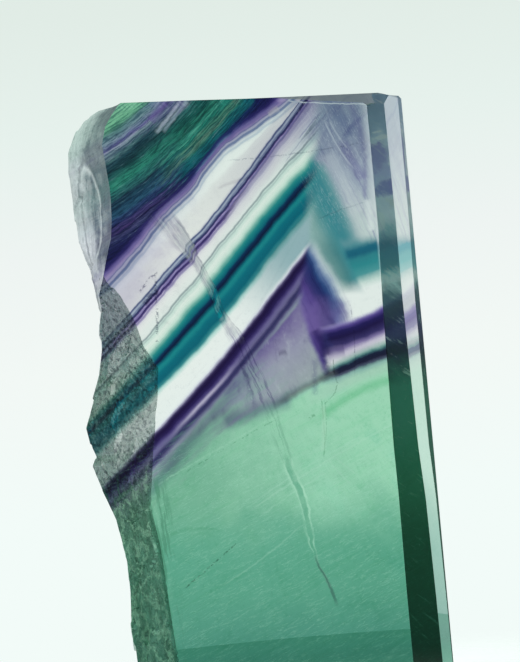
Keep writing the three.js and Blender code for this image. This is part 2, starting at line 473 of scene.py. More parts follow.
def smoothLevel(shader, x, z):
    # Level of a layer on the left of the growth corner: height minus x, less a slow swell along
    # the layers and a lift towards the lower left, plus a little unevenness.
    along = z + x
    height, length, start = leftBands["swell"]
    swell = ((along - start) * (2 * math.pi / length)).maths("SINE") * height
    lift = ((30.0 - along).maths("MAXIMUM", 0.0) / 18.0) ** 2.0 * 0.9
    uneven = shader.noise(x, 0.0, z, 0.22, 3.0) * 0.3
    return z - x - swell - lift + uneven, along


def lowerLayers(shader, level, along):
    # From the purple layers up to the pale edge of the teal one, which is narrower far down to the
    # left. Near the corner the pale layer turns grey teal; further off a lilac gap opens.
    narrow = (shader.window(level, 50.6, 55.7, 0.8) * shader.step(along, 42.0, 26.0)
              - shader.window(level, 56.6, 58.0, 0.8) * shader.step(along, 29.0, 24.0)) * 0.6
    tint = shader.ramp(level - narrow, leftBands["lower"])
    near = shader.step(along, 46.0, 61.0) * shader.window(level, 48.1, 51.7, 0.4)
    tint = shader.shade(near, tint, leftBands["greyTeal"])
    gap = shader.window(along, 28.0, 38.0, 4.0) * shader.window(level, 45.15, 45.6, 0.25)
    return shader.mix(gap * 0.55, tint, leftBands["gap"])


def upperLayers(shader, x, z, level, along, fine):
    # The thin dark lines, on a curve of their own, and the veiled white layers around them, which
    # close up towards the growth corner
    bent = z - x - (along - 50.0) ** 2.0 * 0.0012 + fine * 0.25
    thin = shader.step(level, 59.6, 60.4) * shader.step(level, 65.6, 64.4)
    closing = (along - 50.0).maths("MAXIMUM", 0.0) * 0.068 - (46.0 - along).maths("MAXIMUM", 0.0) * 0.04
    upperLevel = level + (bent - level) * thin + closing * shader.step(level, 64.2, 66.2)
    tint = shader.ramp(upperLevel, leftBands["upper"])
    fading = shader.window(upperLevel, 61.2, 62.05, 0.15) * shader.step(along, 57.0, 66.0)
    tint = shader.mix(fading * 0.85, tint, leftBands["faded"])
    veils = leftBands["veil"]
    veil = shader.mix(shader.step(along, 50.0, 78.0), veils["far"], veils["near"])
    tint = shader.shade(shader.window(upperLevel, 59.9, 67.0, 0.5), tint, veil)
    hazy = shader.step(x - cornerLine(z) + fine * 4.0, -4.0, 0.0) * shader.step(level, 58.0, 60.0)
    tint = shader.shade(hazy, tint, veils["corner"])
    smears = shader.noise(x * 0.9, 18.0, z, 0.5, 5.0, 0.65)
    farLeft = shader.step(x - z * 0.35 + smears * 12.0, -25.0, -33.0) * shader.step(upperLevel, 63.4, 64.0)
    tint = shader.shade(farLeft * 0.9, tint, leftBands["smears"][0])
    smeared = shader.step(smears, 0.02, 0.2) * shader.step(x, 0.0, -5.0)
    return shader.shade(smeared * 0.5, tint, leftBands["smears"][1])


def leftColour(shader, x, z):
    # The lower and upper layers of the left side with the dark corner above them, drawn into fine
    # streaks, and how far along the layers the place is
    level, along = smoothLevel(shader, x, z)
    fine = shader.noise(level * 2.2, 2.0, along * 0.10, 1.0, 4.0, 0.7)
    level = level + fine * (shader.step(level, 66.5, 68.5) * 1.1 + 0.25)
    lower = lowerLayers(shader, level, along)
    upper = upperLayers(shader, x, z, level, along, fine)
    upper = capColour(shader, x, z, upper)
    sides = shader.mix(shader.step(level, 58.05, 58.15), lower, upper)
    return shader.shade(shader.step(fine, 0.05, 0.3) * 0.4, sides, leftBands["streaks"]), along


def capColour(shader, x, z, below):
    # The dark corner over the colour below it: its streaks steepen towards the growth corner, so
    # they follow height less a curve of x, pushed up and down by long noises and crossed by a
    # few steep dark lines
    bent = (x + 15.0).maths("MINIMUM", 13.0)
    level = z - bent * 0.5 - bent ** 2.0 * 0.0183 - (x + 2.0).maths("MAXIMUM", 0.0) * 0.95
    run = z + x
    broad = shader.noise(level * 0.4, 0.0, run * 0.06, 1.0, 3.0, 0.6)
    fine = shader.noise(level * 1.7, 5.0, run * 0.10, 1.0, 4.0, 0.7)
    hair = shader.noise(level * 4.5, 3.0, run * 0.30, 1.0, 3.0, 0.7)
    steep = shader.noise((z - x * 1.7) * 0.8, 23.0, (x + z * 0.6) * 0.2, 1.0, 4.0, 0.65)
    above = level - shader.curve(x, capBands["start"])
    wider = shader.step(x, -7.0, -13.0) * 0.35 + 1.0
    edge = shader.ramp(above / wider + fine * 0.25, capBands["edge"])
    pushed = level + broad * 2.4 + fine * 0.9
    far = shader.ramp(pushed, capBands["far"])
    close = shader.ramp(pushed, capBands["close"])
    darkHair, paleHair = capBands["hairs"]
    tint = shader.mix(shader.step(x + steep * 8.0 + fine * 8.0, -10.0, -4.5), far, close)
    tint = shader.shade(shader.step(hair, -0.03, 0.07) * 0.9, tint, darkHair)
    tint = shader.mix(shader.step(-hair, 0.08, 0.18) * 0.3, tint, paleHair)
    crossed = shader.step(steep, 0.08, 0.2) * shader.step(level, 61.0, 63.0)
    tint = shader.shade(crossed * 0.7, tint, capBands["crossing"])
    tint = shader.mix(shader.step(above / wider, 1.75, 2.25), edge, tint)
    return shader.mix(shader.step(above / wider + fine * 0.25, -0.35, -0.3), below,
                      shader.shade(shader.step(above, 0.9, 0.4), tint, below))


rightBands = {
    # across the faint right flank of the teal layer, from its inside to the hazy outside, mm
    "flank": [(-3.6, (0.33, 0.51, 0.50)), (-2.6, (0.26, 0.44, 0.43)), (-1.5, (0.12, 0.33, 0.35)),
              (-0.8, (0.06, 0.28, 0.32)), (0.2, (0.05, 0.26, 0.31)), (0.9, (0.09, 0.30, 0.34)),
              (1.5, (0.20, 0.38, 0.42)), (2.3, (0.34, 0.42, 0.50))],
    # the haze outside the flank, by height, mm
    "haze": [(57.0, (0.62, 0.70, 0.70)), (60.0, (0.55, 0.60, 0.65)), (63.0, (0.40, 0.44, 0.56)),
             (66.5, (0.29, 0.32, 0.45)), (70.0, (0.24, 0.29, 0.41)), (73.0, (0.25, 0.29, 0.40))],
    # up through the second teal patch, mm
    "patch": [(50.0, (0.92, 0.95, 0.93)), (50.8, (0.62, 0.76, 0.72)), (51.7, (0.08, 0.34, 0.36)),
              (52.8, (0.03, 0.27, 0.30)), (53.6, (0.03, 0.24, 0.28)), (54.1, (0.01, 0.13, 0.21)),
              (54.7, (0.01, 0.14, 0.22)), (55.3, (0.08, 0.28, 0.33)), (56.4, (0.26, 0.42, 0.46))],
    # across the purple flank, from its inner line to its outer edge, mm
    "purple": [(-4.4, (0.17, 0.13, 0.36)), (-3.8, (0.12, 0.08, 0.32)), (-2.8, (0.10, 0.06, 0.28)),
               (-2.1, (0.04, 0.035, 0.18)), (-1.4, (0.02, 0.03, 0.16)), (-0.8, (0.02, 0.06, 0.21)),
               (-0.3, (0.11, 0.18, 0.38)), (0.2, (0.36, 0.44, 0.58)), (0.8, (0.70, 0.75, 0.80)),
               (1.5, (0.95, 0.96, 0.96))],
    # up through the purple rise, mm from its middle line
    "rise": [(-2.9, (0.80, 0.78, 0.82)), (-2.1, (0.64, 0.56, 0.72)), (-1.6, (0.24, 0.18, 0.40)),
             (-1.1, (0.04, 0.03, 0.14)), (-0.3, (0.01, 0.005, 0.06)), (0.35, (0.015, 0.01, 0.10)),
             (0.75, (0.08, 0.05, 0.26)), (1.15, (0.30, 0.24, 0.54)), (1.8, (0.60, 0.54, 0.76))],
    # up through the navy rise, mm from its middle line
    "navy": [(-1.6, (0.95, 0.98, 0.96)), (-1.0, (0.66, 0.70, 0.82)), (-0.55, (0.12, 0.09, 0.22)),
             (-0.2, (0.01, 0.01, 0.045)), (0.3, (0.01, 0.02, 0.06)), (0.55, (0.10, 0.30, 0.28)),
             (0.9, (0.55, 0.72, 0.66)), (1.4, (0.97, 0.97, 0.97))],
    "inside": (0.60, 0.74, 0.76),  # over the inner foot of the flank
    "streaks": ((0.46, 0.40, 0.68), (0.74, 0.76, 0.82)),  # in the haze, dark and pale
    "slanted": (0.56, 0.56, 0.76),  # streaks at the very top
    "clear": (0.94, 0.95, 0.94),  # under the patch
    "lighter": (0.24, 0.16, 0.44),  # low in the purple flank
    "purpleStreaks": (0.42, 0.36, 0.60),
}


innerBands = {
    # inside the growth corner, from deep inside out to the purple layer, by height less x, mm
    "lilac": [(33.0, (0.40, 0.48, 0.46)), (36.5, (0.40, 0.43, 0.48)), (40.0, (0.37, 0.36, 0.49)),
              (42.0, (0.27, 0.23, 0.42)), (43.2, (0.17, 0.12, 0.34)), (44.0, (0.10, 0.06, 0.24))],
    "grey": (0.27, 0.45, 0.38),  # and further left
    "smudges": ((0.62, 0.58, 0.72), (0.66, 0.68, 0.74)),  # dark and pale
    "shadow": (0.56, 0.54, 0.70),  # under the purple layer
    "underNavy": (0.50, 0.66, 0.58),
    "dust": (0.80, 0.82, 0.84),
}


def cornerLine(z):
    # x where the layers turn, at a height
    return (z - 55.2) * 0.15 + (z - 55.2).maths("MINIMUM", 0.0) * 0.13 + 7.4


def rightColour(shader, x, z):
    # Right of the corner the layers are faint and steep: a teal flank, then a haze with streaks
    # along both flanks, a teal patch and a purple flank
    uneven = shader.noise(x, 3.0, z, 0.35, 3.0, 0.6)
    cloud = shader.noise(x, 11.0, z, 0.55, 4.0, 0.65)
    flank = x - 9.0 - (63.8 - z) * 0.35 + uneven * 0.8
    steep = shader.noise(flank * 1.2, 0.0, z * 0.10, 1.0, 4.0, 0.65)
    slant = shader.noise((z - x) * 1.1, 7.0, (z + x) * 0.08, 1.0, 4.0, 0.6)
    tint = shader.ramp(flank + steep * 0.6, rightBands["flank"])
    lowInside = shader.step(z, 57.8, 54.4) * shader.step(flank, -0.6, -1.6)
    tint = shader.shade(lowInside, tint, rightBands["inside"])
    haze = shader.ramp(z + uneven * 4.0 + steep * 9.0, rightBands["haze"])
    outside = shader.step(shader.step(z + uneven * 2.0, 64.2, 66.6) * 2.5 + flank, 1.2, 2.6)
    tint = shader.mix(outside, tint, haze)
    darkStreak, paleStreak = rightBands["streaks"]
    tint = shader.shade(shader.step(steep, 0.02, 0.20) * outside * 0.8, tint, darkStreak)
    tint = shader.mix(shader.step(-steep, 0.06, 0.24) * outside * 0.35, tint, paleStreak)
    high = shader.step(z + x * 0.5, 70.5, 74.0)
    tint = shader.shade(shader.step(slant, 0.0, 0.18) * high * 0.7, tint, rightBands["slanted"])
    patchEdge = x - 11.5 - (55.0 - z) * 0.35
    patch = shader.ramp(z - (x - 12.0) * 0.18 + uneven * 0.8 + cloud * 0.5, rightBands["patch"])
    under = shader.step(z + cloud, 56.6, 55.2) * shader.step(patchEdge, -0.3, 0.3)
    tint = shader.mix(under, tint, patch)
    low = shader.step(z + uneven + cloud * 0.8, 51.6, 49.6)
    tint = shader.mix(low, tint, rightBands["clear"])
    purpleAt = x - 7.75 - (55.2 - z).maths("MINIMUM", 6.2) * 0.44 + uneven * 0.6 + cloud * 0.7
    purple = shader.ramp(purpleAt, rightBands["purple"])
    lighter = shader.step(z + cloud * 3.0, 50.5, 47.5) * shader.step(z + cloud * 2.0, 44.8, 46.2)
    purple = shader.mix(lighter * 0.45, purple, rightBands["lighter"])
    purple = shader.shade(shader.step(steep, -0.02, 0.12) * 0.6, purple, rightBands["purpleStreaks"])
    inside = shader.step(purpleAt, 1.6, 0.2) * shader.step(z, 57.0, 54.8)
    return shader.mix(inside, tint, purple)


mintBody = {
    "greens": ((0.22, 0.50, 0.35), (0.43, 0.76, 0.56)),  # at the lower left, and at the upper right
    "deep": (0.14, 0.44, 0.31),  # under the middle
    "deepest": (0.08, 0.31, 0.25),  # towards the base
    "bluish": (0.84, 0.96, 1.0),
    "mottles": (0.66, 0.85, 0.77),
    "grains": (0.60, 0.82, 0.72),
    "lines": (0.66, 0.88, 0.76),
}


def lowerBody(shader, x, z):
    # Mint green body, paler at the upper right and deeper to the left and below, cloudy and
    # grainy, with faint lines along its own shallow layers
    cloud = shader.noise(x, 7.0, z, 0.12, 3.0, 0.6)
    mottle = shader.noise(x, 17.0, z, 0.40, 5.0, 0.65)
    lines = shader.noise((z - x * 0.45) * 1.4, 9.0, (x + z) * 0.06, 1.0, 4.0, 0.6)
    across = x + z * 0.6 + cloud * 18.0 + lines * 9.0 + mottle * 14.0
    tint = shader.mix(shader.step(across, 6.0, 34.0), *mintBody["greens"])
    tint = shader.mix(shader.step(z + cloud * 8.0 + mottle * 4.0, 29.0, 19.0), tint, mintBody["deep"])
    tint = shader.mix(shader.step(z + cloud * 6.0, 18.0, 4.0), tint, mintBody["deepest"])
    bluish = shader.step(mottle + cloud, 0.0, 0.2) * shader.step(x, 2.0, 12.0)
    tint = shader.shade(bluish * 0.4, tint, mintBody["bluish"])
    grains = shader.noise(x + z * 0.3, 27.0, z - x * 0.4, 1.5, 5.0, 0.75)
    tint = shader.shade(shader.step(mottle, 0.02, 0.18) * 0.45, tint, mintBody["mottles"])
    tint = shader.shade(shader.step(grains, 0.0, 0.18) * 0.45, tint, mintBody["grains"])
    return shader.shade(shader.step(lines, 0.0, 0.2) * 0.45, tint, mintBody["lines"])


def purpleRise(shader, x, z, wander, tint):
    # The purple band that climbs to the right in a parabola, laid over what is there
    beyond = (x - 10.0).maths("MAXIMUM", -1.5)
    riseAt = z - beyond * 0.14 - beyond ** 2.0 * 0.0315 - 45.15 + wander * 0.3
    rise = shader.ramp(riseAt, rightBands["rise"])
    onRise = shader.step(x + wander * 2.0, 7.6, 9.4) * shader.step(riseAt, 1.6, 0.9)
    return shader.mix(onRise, tint, rise)


def cornerFilling(shader, x, z, along, cloud, sloped):
    # The inside of the growth corner: lilac to the right and grey green to the left, smudged
    smudge = shader.noise(x * 1.4, 5.0, z * 0.7 + x * 0.3, 0.5, 5.0, 0.7)
    inner = shader.step(z - x, 43.8, 43.2) * shader.step(x - 7.3 - (43.5 - z) * 0.3 + cloud, 0.4, -0.4)
    lilac = shader.ramp(z - x + cloud * 4.0, innerBands["lilac"])
    toLilac = shader.step(along + cloud * 10.0 + sloped * 30.0, 30.0, 46.0)
    darkSmudge, paleSmudge = innerBands["smudges"]
    tint = shader.mix(toLilac, innerBands["grey"], lilac)
    tint = shader.shade(shader.step(smudge, 0.0, 0.2) * 0.6, tint, darkSmudge)
    return shader.mix(shader.step(-smudge, 0.04, 0.22) * 0.3, tint, paleSmudge), inner * 0.9


def growthColour(shader, x, z):
    # All layers together, in millimetres of the slab's own x and height, made slightly wavy: both
    # sides of the growth corner, with a small slip along the fissure, then the purple rise, the
    # inside of the corner, the mint body and the navy rise along its upper edge
    x, z = (x + shader.noise(x, 20.0, z, 0.45, 3.0, 0.5) * 0.5,
            z + shader.noise(x, 30.0, z, 0.45, 3.0, 0.5) * 0.5)
    off = x - shader.curve(z, fissure["line"])
    slip = ((shader.step(off, -0.3, 0.3) - 0.5) * shader.window(off, -1.6, 1.6, 1.4)
            * shader.window(z, 48.0, 60.0, 1.0))
    left, along = leftColour(shader, x, z - slip * 0.5)
    right = rightColour(shader, x, z)
    wander = shader.noise(x, 4.0, z, 0.8, 3.0, 0.6)
    corner = (x - cornerLine(z) + wander * 0.6) / (shader.step(z, 57.0, 63.0) * 0.6 + 0.5)
    tint = shader.mix(shader.step(corner, -1.0, 1.0), left, right)
    tint = purpleRise(shader, x, z, wander, tint)

    navyAt = z - (x - 2.0) * 0.5 + (x - 2.0) ** 2.0 * 0.0095 - 37.85 + wander * 0.5
    cloud = shader.noise(x, 1.0, z, 0.28, 5.0, 0.6)
    sloped = shader.noise((z - x * 0.62) * 0.9, 14.0, (x + z) * 0.09, 1.0, 4.0, 0.65)
    filling, inner = cornerFilling(shader, x, z, along, cloud, sloped)
    tint = shader.mix(inner, tint, filling)
    far = shader.step(x, 5.0, -9.0)
    border = (navyAt - far * 2.6 + sloped * far * 14.0 + cloud * 0.5) / (far * 2.2 + 1.0)
    tint = shader.mix(shader.step(border, 0.4, -0.8), tint, lowerBody(shader, x, z))
    shadow = shader.window(z - x + sloped * 3.0, 41.6, 43.6, 1.0) * far
    tint = shader.shade(shadow * 0.85, tint, innerBands["shadow"])
    under = shader.window(navyAt, -2.4, -0.7, 0.5) * shader.step(x, 4.0, 10.0)
    tint = shader.mix(under * 0.55, tint, innerBands["underNavy"])
    strong = shader.step(x + cloud * 4.0, 7.0, 10.0)
    navy = shader.ramp(navyAt * (1.9 - strong * 0.9), rightBands["navy"])
    strength = strong * 0.55 + shader.step(x + cloud * 2.0, 1.2, 3.4) * 0.45
    tint = shader.shade(strength * shader.step(navyAt, 1.6, 1.2), tint, navy)
    dust = shader.noise(x, 12.0, z, 1.5, 5.0, 0.75)
    return shader.shade(shader.step(dust, 0.0, 0.22) * 0.5, tint, innerBands["dust"])


marks = {
    # thin lines and streaks seen in the front, one to a row: where it starts and ends (x and
    # height), its bow, width and soft edge in mm, how much of its colour is laid on, how broken it
    # is or None, and its colour; the higher the number of a broken line, the less of it shows
    "dark": [
        ((6.6, 35.6), (17.6, 39.8), 0.9, 0.6, 0.6, 0.9, -0.5, (0.52, 0.80, 0.64)),
        ((7.3, 38.6), (7.0, 31.0), 0.2, 0.07, 0.08, 0.8, 0.1, (0.34, 0.56, 0.44)),
        ((7.7, 38.0), (7.2, 32.4), 0.2, 0.06, 0.08, 0.7, 0.3, (0.40, 0.62, 0.48)),
        ((5.7, 35.8), (6.5, 36.3), 0.1, 0.3, 0.15, 0.8, 0.4, (0.34, 0.50, 0.40)),
        ((-4.4, 36.2), (4.2, 38.4), 0.1, 1.5, 0.8, 0.9, None, (0.44, 0.42, 0.60)),
        ((-12.0, 31.2), (-2.0, 38.0), 0.2, 1.8, 1.2, 0.8, None, (0.68, 0.62, 0.76)),
        ((8.4, 43.2), (10.6, 43.5), 0.0, 1.2, 0.6, 0.85, None, (0.46, 0.44, 0.58)),
        ((7.2, 46.2), (8.4, 42.8), 0.1, 0.8, 0.6, 0.9, None, (0.20, 0.16, 0.38)),
        ((-1.4, 44.4), (-0.2, 37.6), -0.15, 0.5, 0.3, 0.8, 0.1, (0.56, 0.54, 0.70)),
        ((6.9, 43.0), (6.6, 38.4), 0.1, 0.5, 0.35, 0.7, 0.1, (0.56, 0.54, 0.72)),
        ((11.0, 72.6), (13.6, 67.6), 0.2, 1.3, 0.8, 0.8, None, (0.48, 0.52, 0.72)),
        ((2.9, 43.6), (3.9, 43.8), 0.1, 0.5, 0.3, 0.8, None, (0.45, 0.44, 0.52)),
        ((-9.6, 30.8), (2.4, 36.4), 0.1, 0.06, 0.08, 0.7, 0.6, (0.25, 0.45, 0.35)),
        ((-10.6, 17.6), (-3.4, 22.8), 0.0, 0.1, 0.08, 0.95, 0.5, (0.10, 0.22, 0.18)),
        ((-13.6, 23.0), (-5.2, 23.9), 1.1, 0.1, 0.35, 0.6, 0.2, (0.60, 0.80, 0.70)),
        ((-1.5, 66.4), (17.7, 67.4), -0.4, 0.1, 0.1, 0.7, 0.35, (0.45, 0.48, 0.54)),
        ((8.8, 58.7), (15.2, 60.3), 0.1, 0.06, 0.12, 0.6, None, (0.50, 0.55, 0.60)),
        ((12.4, 67.6), (14.6, 62.6), -0.15, 0.8, 0.6, 0.85, None, (0.52, 0.46, 0.74)),
        ((13.6, 72.4), (15.0, 65.6), 0.2, 0.7, 0.5, 0.8, None, (0.58, 0.54, 0.76)),
        ((14.9, 66.0), (14.4, 60.4), 0.1, 0.35, 0.3, 0.7, None, (0.48, 0.44, 0.70)),
        ((7.4, 68.0), (10.4, 71.0), 0.05, 0.08, 0.1, 0.7, None, (0.36, 0.36, 0.56)),
        ((8.4, 67.8), (11.4, 71.2), 0.05, 0.12, 0.14, 0.6, None, (0.46, 0.46, 0.62)),
        ((5.6, 65.4), (9.2, 69.2), 0.1, 0.06, 0.1, 0.6, None, (0.48, 0.48, 0.60)),
        ((11.6, 49.0), (11.4, 40.4), 0.25, 0.05, 0.08, 0.6, 0.4, (0.20, 0.20, 0.30)),
        ((9.2, 42.6), (9.4, 39.6), -0.2, 0.08, 0.1, 0.7, 0.3, (0.16, 0.22, 0.20)),
        ((9.4, 39.6), (7.6, 37.4), 0.2, 0.06, 0.08, 0.7, 0.3, (0.25, 0.36, 0.30)),
        ((-10.4, 54.2), (-11.0, 45.4), 0.15, 0.3, 0.15, 0.9, 0.65, (0.20, 0.22, 0.28)),
        ((-12.4, 52.2), (-10.0, 54.4), 0.1, 0.22, 0.14, 0.9, 0.5, (0.16, 0.16, 0.26)),
        ((-12.0, 50.6), (-10.2, 52.4), 0.1, 0.7, 0.3, 0.8, 0.2, (0.10, 0.09, 0.20)),
        ((-2.4, 63.2), (2.2, 64.2), 0.2, 0.2, 0.25, 0.8, None, (0.74, 0.72, 0.76)),
    ],
    "pale": [
        ((-8.9, 70.2), (-5.5, 73.9), -0.1, 0.22, 0.22, 0.8, None, (0.64, 0.64, 0.74)),
        ((-8.0, 70.2), (-4.7, 73.7), 0.1, 0.3, 0.25, 0.75, None, (0.50, 0.56, 0.64)),
        ((-9.4, 71.6), (-7.2, 73.8), 0.0, 0.8, 0.4, 0.7, None, (0.16, 0.10, 0.34)),
        ((7.5, 37.6), (6.9, 31.8), 0.15, 0.4, 0.22, 0.45, None, (0.54, 0.78, 0.62)),
        ((4.2, 71.2), (5.6, 71.8), 0.1, 0.5, 0.4, 0.5, None, (0.62, 0.60, 0.56)),
        ((-13.5, 29.4), (3.2, 37.1), 0.1, 0.12, 0.12, 0.35, 0.3, (0.46, 0.76, 0.58)),
        ((-6.2, 17.6), (3.9, 23.9), -0.3, 0.08, 0.1, 0.4, None, (0.40, 0.70, 0.54)),
        ((-2.4, 25.8), (17.6, 35.4), 0.4, 0.06, 0.14, 0.35, None, (0.52, 0.80, 0.64)),
        ((-1.6, 26.9), (12.0, 33.6), 0.3, 0.06, 0.14, 0.3, None, (0.50, 0.80, 0.64)),
        ((-1.0, 25.2), (7.2, 29.6), 0.2, 0.05, 0.12, 0.3, None, (0.50, 0.80, 0.64)),
        ((7.4, 31.2), (9.8, 28.0), -0.1, 0.05, 0.12, 0.25, None, (0.50, 0.76, 0.62)),
        ((8.0, 31.6), (10.8, 28.9), -0.1, 0.05, 0.12, 0.2, None, (0.50, 0.76, 0.62)),
        ((10.6, 70.1), (13.4, 64.2), -0.25, 0.12, 0.12, 0.45, None, (0.76, 0.77, 0.86)),
        ((11.2, 69.9), (13.0, 66.4), -0.1, 0.1, 0.12, 0.4, None, (0.74, 0.75, 0.84)),
        ((10.3, 66.4), (13.9, 58.6), 0.15, 1.1, 0.9, 0.45, None, (0.66, 0.68, 0.74)),
        ((14.6, 60.6), (14.9, 56.6), 0.1, 0.5, 0.5, 0.75, None, (0.92, 0.95, 0.94)),
        # a painted highlight along the front face's top edge, where it catches the light
        ((6.2, 72.6), (17.7, 71.15), -0.12, 0.08, 0.06, 0.85, None, (0.90, 0.93, 0.94)),
    ],
}

fissure = {
    # the long crack down the middle: height, x of its middle and half its width, mm
    "line": [(14.0, 6.9), (16.3, 6.4), (19.8, 5.1), (24.0, 4.45), (26.8, 4.1), (30.2, 3.0), (34.0, 2.2),
             (37.3, 1.3), (42.6, -0.6), (46.6, -2.0), (48.5, -3.0), (50.0, -3.6), (51.5, -4.0),
             (54.2, -5.2), (57.0, -6.7), (60.5, -8.9)],
    "half": [(14.0, 0.15), (19.8, 0.20), (23.0, 0.45), (30.0, 0.60), (36.0, 0.70), (40.0, 1.1),
             (46.0, 0.85), (50.0, 0.5), (52.0, 0.55), (54.2, 0.6), (57.0, 1.0), (60.5, 1.5)],
    "grey": ((0.84, 0.83, 0.84), (0.48, 0.46, 0.56)),  # its fibres across the upper layers
    "milky": (0.60, 0.66, 0.66),
    "lilac": (0.46, 0.42, 0.60),  # fibres between the upper layers and the body
    "green": ((0.52, 0.82, 0.64), (0.14, 0.42, 0.28)),  # in the body: its sides and its core
    "greenFibres": (0.26, 0.54, 0.38),
    "threads": (0.56, 0.66, 0.64),
    "rim": (0.50, 0.50, 0.56),
    "tip": (0.05, 0.14, 0.12),
}

hairColours = {
    "haze": (0.80, 0.82, 0.88),  # pale hairs in the haze at the top right
    "body": ((0.50, 0.82, 0.66), (0.10, 0.34, 0.24)),  # in the body, pale and dark
    "fibres": ((0.50, 0.80, 0.60), (0.08, 0.27, 0.17)),  # over the lower broken side, pale and dark
}


def markLine(shader, spot, grit, start, end, bow, width, soft, amount, broken):
    # From 0 to 1 across one mark; a broken one shows only where the fine noise is high
    line = shader.streak(spot, start, end, width, soft, bow)
    if broken is not None:
        line = line * shader.step(grit, 0.35 + broken * 0.2, 0.45 + broken * 0.2)
    return line * amount


def drawMarks(shader, x, z, grit, tint):
    # Dark marks are multiplied together, and pale ones are laid over them by the strongest one
    spot = shader.node("ShaderNodeCombineXYZ", values={0: x, 1: 1.0, 2: z})
    ink, pale, cover = white, (0.6, 0.7, 0.7), 0.0
    for *mark, tone in marks["dark"]:
        ink = shader.shade(markLine(shader, spot, grit, *mark), ink, tone)
    for *mark, tone in marks["pale"]:
        line = markLine(shader, spot, grit, *mark)
        pale = shader.mix(line * 4.0, pale, tone)
        cover = line.maths("MAXIMUM", cover)
    tint = shader.shade(1.0, tint, ink)
    return shader.mix(cover, tint, pale)


def drawHairs(shader, x, z, tint):
    # Fine hairs where long noises cross zero, in the haze at the top right and in the body, and
    # upright fibres over the lower broken side
    hairs = shader.noise((x + z * 0.45) * 3.0, 44.0, (z - x * 0.45) * 0.3, 1.0, 3.0, 0.6).maths("ABSOLUTE")
    fans = shader.noise((z - x * 0.42) * 2.4, 47.0, (x + z * 0.42) * 0.2, 1.0, 3.0, 0.6).maths("ABSOLUTE")
    haze = shader.step(x, 6.5, 9.5) * shader.step(z, 56.0, 59.0)
    tint = shader.mix(shader.step(hairs, 0.016, 0.004) * haze * 0.3, tint, hairColours["haze"])
    paleHair, darkHair = hairColours["body"]
    tint = shader.mix(shader.step(fans, 0.016, 0.004) * shader.step(z, 36.0, 32.0) * 0.3, tint, paleHair)
    tint = shader.mix(shader.step(hairs, 0.014, 0.002) * shader.step(z, 36.0, 32.0) * 0.2, tint, darkHair)

    strands = shader.noise(x * 1.3 + z * 0.12, 22.0, z * 0.14, 1.0, 4.0, 0.7)
    flank = shader.step(x - strands * 6.0, -10.8, -12.8) * shader.step(z - strands * 10.0, 31.5, 28.5)
    paleFibre, darkFibre = hairColours["fibres"]
    tint = shader.mix(flank * shader.step(strands, -0.02, 0.06) * 0.8, tint, darkFibre)
    return shader.mix(flank * shader.step(-strands, 0.02, 0.14) * 0.25, tint, paleFibre)


def drawFissure(shader, x, z, tint):
    # A bundle of fibres along the fissure's line, grey across the upper layers and pale and deep
    # green in the body, sharper on its right edge
    ragged = shader.noise(x * 0.4, 2.0, z, 0.5, 3.0, 0.6)
    middle = shader.curve(z, fissure["line"]) + ragged * 0.6
    half = shader.curve(z, fissure["half"])
    off = x - middle
    fibres = shader.noise(off * 2.6, 9.0, z * 0.22, 1.0, 4.0, 0.7)
    smoke = shader.noise(x, 15.0, z, 0.5, 4.0, 0.65)
    across = off / half + fibres * 0.8
    inside = shader.step(across, -1.4, -0.5) * shader.step(across, 1.15, 0.95)
    high = shader.step(z, 45.0, 47.5)
    reach = shader.window(z, 16.0, 60.4, 0.8)
    grey = shader.mix(shader.step(fibres + smoke * 0.9, -0.16, 0.14), *fissure["grey"])
    tint = shader.shade(inside * reach * high * 0.95, tint, grey)
    milky = shader.step(smoke - fibres, -0.1, 0.2) * 0.45
    tint = shader.mix(inside * reach * high * milky, tint, fissure["milky"])
    strands = inside * shader.window(z, 38.0, 46.5, 0.8) * shader.step(fibres, 0.0, 0.07)
    tint = shader.shade(strands * 0.9, tint, fissure["lilac"])
    core = shader.step(across.maths("ABSOLUTE") + fibres * 0.6, 0.75, 0.4)
    green = shader.mix(core, *fissure["green"])
    green = shader.mix(shader.step(fibres, 0.03, 0.12) * 0.6, green, fissure["greenFibres"])
    patchy = shader.step(smoke + fibres * 0.5, -0.14, 0.1) * 0.7 + 0.15
    tint = shader.mix(inside * reach * shader.step(z, 32.5, 30.0) * patchy, tint, green)
    threads = shader.step(fibres, -0.02, 0.05) * inside * shader.window(z, 31.0, 37.5, 1.2)
    tint = shader.shade(threads * 0.6, tint, fissure["threads"])
    rim = shader.step((across - 1.0).maths("ABSOLUTE"), 0.22, 0.06) * reach * high
    tint = shader.shade(rim * shader.step(smoke, -0.2, 0.1) * 0.6, tint, fissure["rim"])
    tip = shader.window(z, 14.6, 19.8, 0.8) * shader.step((off + fibres * 0.4).maths("ABSOLUTE"), 0.28, 0.08)
    return shader.mix(tip * 0.8, tint, fissure["tip"])


def markFront(shader, x, z, tint):
    # Everything drawn over the front face's layers, along slightly wobbly lines
    wobble = shader.noise(x, 0.0, z, 1.1, 3.0, 0.6) * 0.35
    grit = shader.noise(x, 6.0, z, 2.6, 3.0, 0.7) + 0.5
    x, z = x + wobble, z - wobble
    tint = drawMarks(shader, x, z, grit, tint)
    tint = drawHairs(shader, x, z, tint)
    return drawFissure(shader, x, z, tint)


fluoriteBody = {
    "ior": 1.434,
    "haze": (0.4, 0.7, 0.6, 1.0),  # colour that long paths through it take on
    "density": 12.0,
    # how much of the layers' colour each kind of surface holds; straight through the slab light
    # crosses the front and the back, which make up the whole together
    "share": {"front": 0.75, "back": 0.25, "edges": 0.25, "broken": 0.2, "ground": 0.3},
}


def fluorite(shader, tint, roughness):
    # Clear crystal, tinted as light crosses its surface
    values = {"Base Color": tint, "Roughness": roughness, "IOR": fluoriteBody["ior"],
              "Transmission Weight": 1.0}
    return shader.node("ShaderNodeBsdfPrincipled", values=values)


